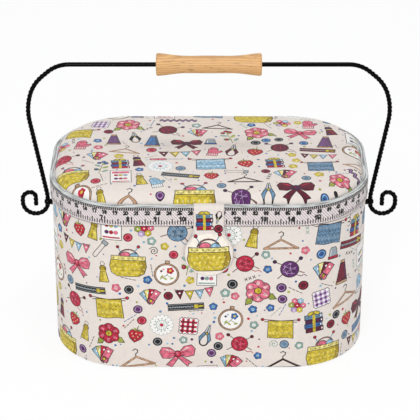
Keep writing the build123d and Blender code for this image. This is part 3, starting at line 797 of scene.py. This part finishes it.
CARD = solid_look("card", srgb(0.72, 0.66, 0.55), 0.92, 900.0, 5.0, (0.75, 1.15))
STEEL = solid_look("magnet_steel", srgb(0.66, 0.66, 0.67), 0.34, 300.0, 3.0, stretch=(1, 12, 1), Metallic=1.0)

# ---- the box's cloth ----
rng = random.Random(PRINT_SEED)
TURN_IN = 16         # how far the printed cloth is turned in under the base
TURNED_OVER = 9      # how much of it at the wall's top edge has no motifs
LINER, BOARD_EDGE = 4.35, 3.4      # how far in the linings lie, and where they end on the board's edge

half, top = BODY.half_round, BODY_HIGH.z
side = rounded([(TURN_IN, 0.35), (0, 0.35), (0, top - 0.05), (3.6, top - 0.05), (3.6, 151)], [2.2, 1.0, 0.7])
side = Section(side, 0.35 - TURN_IN)
body_motifs = scatter(-half, half, side.ways[0], side.ways[-1] - TURNED_OVER, rng)
body_print = band_sheet("body_print", BODY, side, body_motifs)
dress(body_print, PRINT, "box", ["body_cover"])

base_cloth = top_sheet("base_cloth", BODY, 3, lambda x, y: 0.12 + 0.1 * ripple(x * 0.03, y * 0.03, 0), flip=True)
dress(base_cloth, BASE_CLOTH, "box", ["base_fabric"])

inner = Section(rounded([(LINER, 8.0), (LINER, top - 0.6), (BOARD_EDGE, top - 0.6)], [0.5]))
body_lining = band_sheet("body_lining_cloth", BODY, inner, flip=True)
dress(body_lining, LINING, "box", ["body_lining"])

CUSHION_INSET, CUSHION_TOP, DIAMOND = 4.5, 8.15, 52


def quilted(x, y):
    """The base cushion's top, rounded at its edge and stitched in diamonds."""
    edge = rounded_edge(BODY.inset_of(x, y) - CUSHION_INSET, 3)
    seam = min(abs(sin(pi * (x + y) / DIAMOND)), abs(sin(pi * (x - y) / DIAMOND)))
    return CUSHION_TOP - 2.2 * (1 - edge) - 1.1 * exp(-seam * 9)


cushion = top_sheet("base_cushion", BODY, CUSHION_INSET, quilted, rings=(4.8, 5.4, 6.4, 7.5), pitch=4)
under = top_sheet("base_cushion_under", BODY, CUSHION_INSET, lambda x, y: 4.3, flip=True)
cushion = dress(joined("base_cushion", [cushion, under]), LINING, "box", ["base_lining"])

# ---- the lid's cloth ----
PAD_INSET = 5.3      # where the padding starts, in from the lid's edge
FREE_RIM = 6         # how far the lid's motifs keep clear of its box
CEILING = 172.6      # the height of the lining under the lid


def lid_height(x, y):
    """The padded lid: a steep round edge, then nearly flat, with soft puckers running in from the trim."""
    inset = max(0, LID.inset_of(x, y) - PAD_INSET)
    edge = rounded_edge(inset, 3.4)
    height = LID_HIGH.z + 0.5 + 3.3 * edge + 8.2 * (1 - (1 - min(1, inset / 60)) ** 7.5)
    height += 0.4 * edge * ripple(atan2(y * 1.35, x) * 26, 0.3, 1) * exp(-inset / 9)
    return height + 0.5 * ripple(x / 42, y / 42, 5) * min(1, inset / 30)


wide, deep = LID_HIGH.x - FREE_RIM, LID_HIGH.y - FREE_RIM
lid_motifs = scatter(-wide, wide, -deep, deep, rng)
pad_rings = [PAD_INSET + r for r in (0, 0.05, 0.2, 0.5, 0.9, 1.5, 2.3, 3.4, 5, 7, 10, 14, 19, 27)]
lid_print = top_sheet("lid_print", LID, PAD_INSET - 0.6, lid_height, lid_motifs, rings=pad_rings, pitch=5)
dress(lid_print, LID_PRINT, "lid", ["lid_cover", "lid_pad"])

# Each digit's line, through places on a grid that are written as column and row
DIGITS = [digit.split() for digit in (
    "01 03 14 23 21 10 01; 10 14 03; 03 14 23 22 00 20; 03 14 23 12 21 10 01; 20 24 01 21; 24 04 02 12 21 10 01;"
    "23 14 01 10 21 12 01; 04 24 10; 12 03 14 23 12 01 10 21 12; 10 22 23 14 03 12 22").split(";")]
CENTIMETRE, FRONT_CENTIMETRE = 10.1, 27.7      # their pitch in print, and the reading at the middle of the front
INCH, TICK, FRONT_INCH = 25.4, 2.54, 10.85
HATCH = 2.02         # the pitch of the hatched edge


def numeral(number, u, v, high, width):
    """A number in thin strokes, centred on u, with its foot at v."""
    shapes, digits = [], str(number)
    for k, digit in enumerate(digits):
        left = u + (k - len(digits) / 2) * high * 0.62 + high * 0.06
        path = [Vector((left + int(x) * high * 0.24, v + int(y) * high * 0.25)) for x, y in DIGITS[int(digit)]]
        shapes += stroke("black", path, width)
    return shapes


def readings(start, end, pitch, front):
    """Each whole number on a scale between two places, and its place."""
    return [(n, (n - front) * pitch) for n in range(ceil(start / pitch + front), int(end / pitch + front) + 1)]


def tape_print(low, high, start, end):
    """A measuring scale: a hatched edge, centimetres, and inches among ticks. The black band along its foot, turned
    under the rim, is painted shadow of the gap between the lid and the box.
    """
    # The second black band is painted shadow of the seam under the lid.
    shapes = [("black", plate(start, high - 0.7, end, high + 1.2)), ("black", plate(start, low - 1.6, end, low + 0.4))]
    for u in (start + HATCH * k for k in range(int((end - start) / HATCH))):
        slant = corners(u, high - 3.4, u + 1.45, high - 3.4, u + 2.1, high - 0.6, u + 0.65, high - 0.6)
        shapes.append(("black", slant))
    for n, u in readings(start, end, CENTIMETRE, FRONT_CENTIMETRE):
        shapes += numeral(n % 100 or 100, u, high - 7.6, 3.5, 1.2)
    for n, u in readings(start, end, INCH, FRONT_INCH):
        shapes += numeral(n % 40 or 40, u - 3.4, low + 5.4, 4.2, 1.4)
        for k in range(10):
            tall, half = {0: (7.6, 0.62), 5: (5.4, 0.58)}.get(k, (3.3 + 0.9 * (k % 2), 0.5))
            at = u + TICK * k
            if at < end - 1:
                shapes.append(("black", plate(at - half, low + 1.8, at + half, low + 2.0 + tall)))
    return shapes


rim_foot, rim_head = LID_LOW.z - 0.1, LID_HIGH.z
rim = rounded([(4.2, rim_foot), (0, rim_foot), (0, rim_head - 0.1), (3, rim_head + 0.2)], [0.9, 0.5])
scale_print = tape_print(LID_LOW.z, rim_head, -LID.half_round, LID.half_round)
ribbon = band_sheet("measuring_ribbon", LID, Section(rim, rim_foot - 4.2), scale_print, ground="tape")
dress(ribbon, TAPE, "lid", ["tape_ribbon"])

trim = [(x, rim_head + z) for x, z in ((0.5, -0.5), (0.2, 0.8), (1.8, 1.9), (4.9, 1.6), (5.7, -0.3))]
trim = Section(rounded(trim, [0.6, 2.0, 0.6], 4))


def gathers(u, v):
    """Fine folds across the trim, uneven along it."""
    fold = sin(u * 2.05 + 1.8 * ripple(u * 0.21, 0, 3)) + 0.5 * sin(u * 3.3 + 2 * ripple(u * 0.4, 1, 3))
    return 0.22 * fold * (0.4 + 0.6 * sin(pi * unit(v / trim.ways[-1])))


count, rows = int(2 * LID.half_round / 0.5), len(trim.points)
places, flats = [], []
for u in (-LID.half_round + 2 * LID.half_round * k / count for k in range(count)):
    for at, tilt, way in zip(trim.points, trim.tilts, trim.ways):
        normal = LID.spoke(u)[1] * tilt.x + Vector((0, 0, tilt.y))
        places.append(LID.place(u, at.x, at.y) + normal * gathers(u, way))
        flats.append(Vector((u, way)))
quads = [(a, d, c, b) for a, b, c, d in lattice(count, rows, column_gap=1)]
satin = dress(make_object("gathered_trim", places, quads, flat=flats), SATIN, "lid", ["lid_trim"])

foot = LID_LOW.z + 0.5
walls = Section(rounded([(BOARD_EDGE, foot), (LINER, foot), (LINER, CEILING), (9, CEILING)], [0.4, 2.5]))
ceiling = top_sheet("lid_ceiling", LID, 9, lambda x, y: CEILING - 0.5 * abs(ripple(x / 60, y / 60, 2)), flip=True)
lid_lining = joined("lid_lining_cloth", [band_sheet("lid_walls", LID, walls, flip=True), ceiling])
dress(lid_lining, LINING, "lid", ["lid_lining"])


def inflated(pad, most):
    """The places of the pad's points after a short cloth simulation under pressure, none moved by more than most."""
    rest = np.array([v.co for v in pad.data.vertices])
    cloth = pad.modifiers.new("cloth", "CLOTH")
    cloth.settings.use_pressure = True
    cloth.settings.uniform_pressure_force = 4
    cloth.settings.effector_weights.gravity = 0
    cloth.settings.quality = 6
    for number in range(1, 16):
        bpy.context.scene.frame_set(number)
    shaped = pad.evaluated_get(bpy.context.evaluated_depsgraph_get()).data
    change = np.array([v.co for v in shaped.vertices]) - rest
    pad.modifiers.remove(cloth)
    bpy.context.scene.frame_set(1)
    return rest + change * np.minimum(1, most / np.maximum(np.linalg.norm(change, axis=1, keepdims=True), 1e-9))


def pincushion_form():
    """A stuffed satin pad, buttoned down in three places."""
    low, high = span("pincushion")
    plan = Plan(Vector((high.x - 3, high.y - 3, 0)), 11)
    marks = plan.marks(6, 4)[:-1]
    levels = [(2.2, high.z - 1.2), (0, high.z - 3), (0, low.z + 4.5), (2.0, low.z + 2.6)]
    places = [plan.place(m, inset, z) for inset, z in levels for m in marks]
    pad = make_object("pincushion_pad", places, [f[::-1] for f in tube_faces(len(levels), len(marks))])
    remesh = pad.modifiers.new("remesh", "REMESH")
    remesh.mode, remesh.voxel_size = "VOXEL", 0.0025
    bpy.context.view_layer.objects.active = pad
    bpy.ops.object.modifier_apply(modifier="remesh")
    shape = inflated(pad, 0.003)
    for x in (-26 * MM, 0, 26 * MM):
        away = np.hypot(shape[:, 0] - x, shape[:, 1])
        near_face = shape[:, 2] < (low.z + 5) * MM
        shape[:, 2] += near_face * 0.0035 * np.exp(-((away / 0.007) ** 2))
    shape[:, 2] = np.clip(shape[:, 2], (low.z + 0.1) * MM, (high.z - 0.3) * MM)
    pad.data.vertices.foreach_set("co", shape.ravel())
    flat = pad.data.uv_layers.new(name="cloth")
    loops = np.array([loop.vertex_index for loop in pad.data.loops])
    flat.data.foreach_set("uv", shape[loops][:, :2].astype(np.float32).ravel())
    smooth = pad.modifiers.new("smooth", "SUBSURF")
    smooth.levels = smooth.render_levels = 1
    return pad


pincushion = dress(pincushion_form(), PAD_SATIN, "lid", ["pincushion"])

# ---- the closure tab, a strap (u across it, v up it) with a round paddle about its origin ----
DISC_Z, DISC_RADIUS, STRAP_HALF, FILLET = 128.3, 23.3, 14.3, 5
TAB_BACK = -100.95   # the plane of its back
LID_EDGE = 48.0      # where the strap bends onto the lid
tab_line = Section(rounded([(0, 90), (0, 178.3), (5.3, 178.3)], [1.3], 8), 90 - DISC_Z)
TAB_END = tab_line.ways[-1]


def tab_depth(u, v):
    """How far a point lies inside the paddle's outline."""
    strap, disc = max(abs(u) - STRAP_HALF, -v), hypot(u, v) - DISC_RADIUS
    neck = Vector((max(FILLET - strap, 0), max(FILLET - disc, 0))).length
    return -min(max(FILLET, min(strap, disc)) - neck, TAB_END + 50)


def tab_rise(u, v):
    """The front's height over the back: board and cloth, a rounded edge, and the padded disc."""
    edge = rounded_edge(min(tab_depth(u, v), TAB_END - v), 1.5)
    full = 2.65 - 1.85 * unit((v - LID_EDGE) / 1.9)
    share = min(1, hypot(u, v) / (DISC_RADIUS - 0.9))
    return edge * full + 3.0 * (1 - share ** 3.4) ** 0.55


def tab_ring(inside):
    """The paddle's outline, moved in, from the strap's top right corner down and round to its top left."""
    right = [Vector((STRAP_HALF - inside, v)) for v in np.arange(TAB_END - inside, 30, -3.0)]
    for angle in np.arange(52, -91, -4.0):
        way = Vector((cos(radians(angle)), sin(radians(angle))))
        low, high = 5.0, 50.0
        for _ in range(18):
            middle = (low + high) / 2
            low, high = (middle, high) if tab_depth(*(way * middle)) > inside else (low, middle)
        right.append(way * low)
    return right + [Vector((-p.x, p.y)) for p in right[-2::-1]]


def tab_point(rise):
    def at(u, v):
        spot, tilt = tab_line.at(v)
        lift = rise(u, v)
        return Vector((u, TAB_BACK + spot.x - tilt.x * lift, spot.y + tilt.y * lift))

    def place(u, v):
        east, north = at(u + 0.1, v) - at(u - 0.1, v), at(u, v + 0.1) - at(u, v - 0.1)
        return at(u, v), east.cross(north).normalized()

    return place


def closed(polygon):
    return polygon + polygon[:1]


tab_print = [("cream", oval(0, 0, DISC_RADIUS - 0.7, count=64))]
for name, tone, *where in (("work_bag", "yellow", 0, -1.5, 0.03, 1.06), ("folded", "red", -4.2, 34.5, 0.02, 0.86),
                           ("round_button", "wine", 9, 27.5, 0.3, 0.9), ("snips", "ink", 8.6, 38.5, 2.9, 0.5)):
    tab_print += moved(drawn(name, tone), *where)
for a, b in zip(tab_ring(1.9), tab_ring(1.9)[1:]):
    tab_print += stitches(a, b, "tape")
tab_edges = [closed(tab_ring(d)) for d in (0.12, 0.35, 0.7, 1.1, 1.5, 2.4)]
tab_rows = [[(-16, v), (16, v)] for v in [*np.arange(44, 52, 0.4), *tab_line.ways[1:-1]]]
tab_disc = [closed(oval(0, 0, radius, count=48)) for radius in (4, 8, 12, 15, 17.5, 19.5, 21, 22, 22.6)]
front = sheet_of("tab_front", tab_ring(0), tab_edges + tab_rows + tab_disc, tab_print, tab_point(tab_rise))
back = sheet_of("tab_back", tab_ring(0), tab_rows, [], tab_point(lambda u, v: 0.0), flip=True)
tab = joined("closure_tab", [front, back])
dress(tab, PRINT, None, ["tab_cover", "tab_anchor", "tab_lining"])
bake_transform(tab)

# ---- the cloth hinge ----
HINGE_PLANE, HINGE_THICK = 99.27, 0.55
HINGE_BEND = 150     # above this height the cloth leans back, to the lid's own strip
hinge_low, hinge_high = span("hinge_strip_lower")[0], span("hinge_strip_upper")[1]


def hinge_place(offset):
    def place(u, v):
        lift = unit((v - HINGE_BEND) / 7)
        return Vector((-u, HINGE_PLANE + 0.27 * lift - offset, v)), Vector((0, 1, 0))

    return place


def hinge_plate(inset):
    return plate(hinge_low.x + inset, hinge_low.z + inset, hinge_high.x - inset, hinge_high.z - inset)


hinge_lines = [[(-70, z), (70, z)] for z in [*range(136, 154, 4), *np.arange(154, 160, 0.4), 163, 166]]
hinge_print = scatter(-69, 69, 136, 168, rng)
for hem in (closed(hinge_plate(inset)) for inset in (0.9, 2.4)):
    for a, b in zip(hem, hem[1:]):
        hinge_print += stitches(a, b, "brown")
outside = sheet_of("hinge_front", hinge_plate(0), hinge_lines, hinge_print, hinge_place(0))
inside = sheet_of("hinge_back", hinge_plate(0), hinge_lines, [], hinge_place(HINGE_THICK), flip=True)
hinge = joined("hinge_cloth", [outside, inside])
dress(hinge, PRINT, None, ["hinge_strip_lower", "hinge_strip_upper"])
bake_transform(hinge)

# ---- the iron bail ----
PIVOT = Vector((159.4, 132.3))
BAR_Z = 278.7
ROD_RADIUS = 2.2
SQUARE_HALF, SQUARE_CORNER, TWIST_PITCH = 1.85, 2.4, 16.5      # the twisted part: a square bar with worn corners
TWIST_FROM = 140     # how far along from the middle the square bar starts
EYE_REACH = 2.4      # the rod stops this far from the pivot, inside its eye


def bail_line():
    """The right half of the bail in (x, z), from the middle of the bar to the end of its scroll."""
    foot, heading = PIVOT + Vector((0, -1)), Vector((0, -1))
    line = rounded([(0, BAR_Z), (145.5, BAR_Z), (169.5, 258), (176, 232), (159.4, 139.3), foot], [32, 40, 59.9, 40], 10)
    for radius, run in ((12.3, 0), (12.4, 3.5), (7.6, 0), (5.4, 8.5)):
        start, left = line[-1], Vector((-heading.y, heading.x))
        for a in (pi / 2 * k / 10 for k in range(1, 11)):
            line.append(start + heading * radius * sin(a) + left * radius * (1 - cos(a)))
        heading = left
        if run:
            line.append(line[-1] + heading * run)
    return line


def resampled(line, step):
    ways = np.cumsum([0] + [(b - a).length for a, b in zip(line, line[1:])])
    wanted = np.linspace(0, ways[-1], int(ways[-1] / step) + 1)
    xs, zs = (np.interp(wanted, ways, [p[axis] for p in line]) for axis in (0, 1))
    return [Vector(p) for p in zip(xs, zs)], wanted


def twisted_tube(points, ways, side, around=32):
    """A bar along the points: round on top, and a square bar twisted from the shoulders down."""
    places = []
    for k, (point, way) in enumerate(zip(points, ways)):
        ahead = (points[min(k + 1, len(points) - 1)] - points[max(k - 1, 0)]).normalized()
        aside = Vector((side * -ahead.y, 0, ahead.x))
        share = unit((way - TWIST_FROM) / 14)
        turn = tau * way / TWIST_PITCH
        for a in (tau * j / around for j in range(around)):
            flat = SQUARE_HALF / max(abs(cos(a - turn)), abs(sin(a - turn)))
            reach = ROD_RADIUS * (1 - share) + min(flat, SQUARE_CORNER) * share
            spot = aside * cos(a) * reach + Vector((0, sin(a) * reach, 0))
            places.append(Vector((side * point.x, 0, point.y)) + spot)
    faces = tube_faces(len(points), around)
    return places, faces if side > 0 else [f[::-1] for f in faces]


def eye(side, around=40):
    """The forged eye round the pivot bolt."""
    profile = rounded([(-2.3, 1.35), (-2.3, 3.6), (2.3, 3.6), (2.3, 1.35)], [1.1, 1.1])
    turns = [tau * j / around for j in range(around)]
    places = [(side * PIVOT.x + p.x, p.y * sin(a), PIVOT.y + p.y * cos(a)) for a in turns for p in profile]
    return [Vector(p) for p in places], lattice(around, len(profile))


line, ways = resampled(bail_line(), 0.6)
below = [k for k, p in enumerate(line) if (p - PIVOT).length < EYE_REACH]
half, half_ways = line[: below[0]], list(ways[: below[0]])
across = [Vector((-p.x, p.y)) for p in half[:0:-1]] + half
pieces = [make_object("bail_top", *twisted_tube(across, half_ways[:0:-1] + half_ways, 1))]
for side in (-1, 1):
    pieces.append(make_object(f"bail_{side}_0", *twisted_tube(line[below[-1] + 1 :], ways[below[-1] + 1 :], side)))
    pieces.append(make_object(f"bail_{side}_1", *eye(side)))
bail = dress(joined("iron_bail", pieces), ENAMEL, "handle", ["handle_rod"])

# ---- CAD nodes that stay, in better materials ----
STAYS = {"card": CARD, "tray_plastic": PLASTIC, "black_iron": ENAMEL, "grip_wood": wood_look("grip_wood"),
         "magnet_steel": STEEL}
for node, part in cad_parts.items():
    part = part if isinstance(part, bpy.types.Object) else bpy.data.objects[node]
    for place in (place for place in part.material_slots if place.material):
        place.material = STAYS.get(place.material.name.split(".")[0], place.material)


# ---- floor, light and camera ----
FLOOR_GLOW = 0.87    # how much of its white the camera sees apart from the light; the rest keeps the shadow


def seen(owner):
    """1 for the rays that see the plain white background, and 0 for those that light the scene."""
    rays = add(owner, "LightPath").node.outputs
    shiny = sums(owner, "MAXIMUM", rays["Is Glossy Ray"], rays["Is Transmission Ray"])
    return sums(owner, "MAXIMUM", rays["Is Camera Ray"], shiny)


def show(owner, factor, lit, plain):
    """The owner's surface, going from its lit to its plain form by the factor."""
    output = next(node for node in owner.node_tree.nodes if node.name.endswith("Output"))
    owner.node_tree.links.new(add(owner, "MixShader", {0: factor, 1: lit, 2: plain}), output.inputs["Surface"])


white = new_look("floor_white", Base_Color=(0.99, 0.99, 0.99, 1), Roughness=1.0)
show(white, sums(white, "MULTIPLY", seen(white), FLOOR_GLOW), shader(white).outputs[0], add(white, "Emission"))
floor_mesh = bpy.data.meshes.new("floor")
floor_mesh.from_pydata([(x, y, -0.0002) for x, y in ((-3, -3), (3, -3), (3, 3), (-3, 3))], [], [(0, 1, 2, 3)])
floor_mesh.materials.append(white)
floor = linked("floor", floor_mesh)

world = bpy.data.worlds.new("studio")
bpy.context.scene.world = world
world.use_nodes = True
sky = world.node_tree.nodes["Background"]
sky.inputs["Color"].default_value, sky.inputs["Strength"].default_value = (0.97, 0.985, 1.0, 1), 0.72
show(world, seen(world), sky.outputs[0], add(world, "Background", {"Color": (1, 1, 1, 1), "Strength": 1.0}))

for name, place, target, size, power in (
    ("key", Vector((-0.3, -1.7, 1.2)), Vector((0, 0, 0.1)), 0.3, 10.2),
    ("top", Vector((0.1, -0.2, 1.8)), Vector((0, 0, 0.15)), 0.4, 4.8),
):
    data = bpy.data.lights.new(name, "AREA")
    data.energy, data.size = power, size
    lamp = linked(name, data)
    lamp.location = place
    lamp.rotation_euler = (target - place).to_track_quat("-Z", "Y").to_euler()

# The camera, fitted to the photo. It stands 28 degrees above the target, which shows below the picture's middle.
DEGREES = 28
ELEVATION, DISTANCE = radians(DEGREES), 1.918
TARGET = Vector((0, 0, 0.0868))
PHOTO, FOCAL, BELOW = 420, 1918, 32      # the photo's side, the lens and how far below the middle, in pixels
camera_data = bpy.data.cameras.new("camera")
camera_data.sensor_width = 36
camera_data.lens = 36 * FOCAL / PHOTO
camera = linked("camera", camera_data)
camera.location = TARGET + Vector((0.001 / DISTANCE, -cos(ELEVATION), sin(ELEVATION))) * DISTANCE
camera.rotation_euler = (radians(90 - DEGREES) + atan(BELOW / FOCAL), 0, 0)
bpy.context.scene.camera = camera
bpy.context.scene.view_settings.view_transform = "Standard"
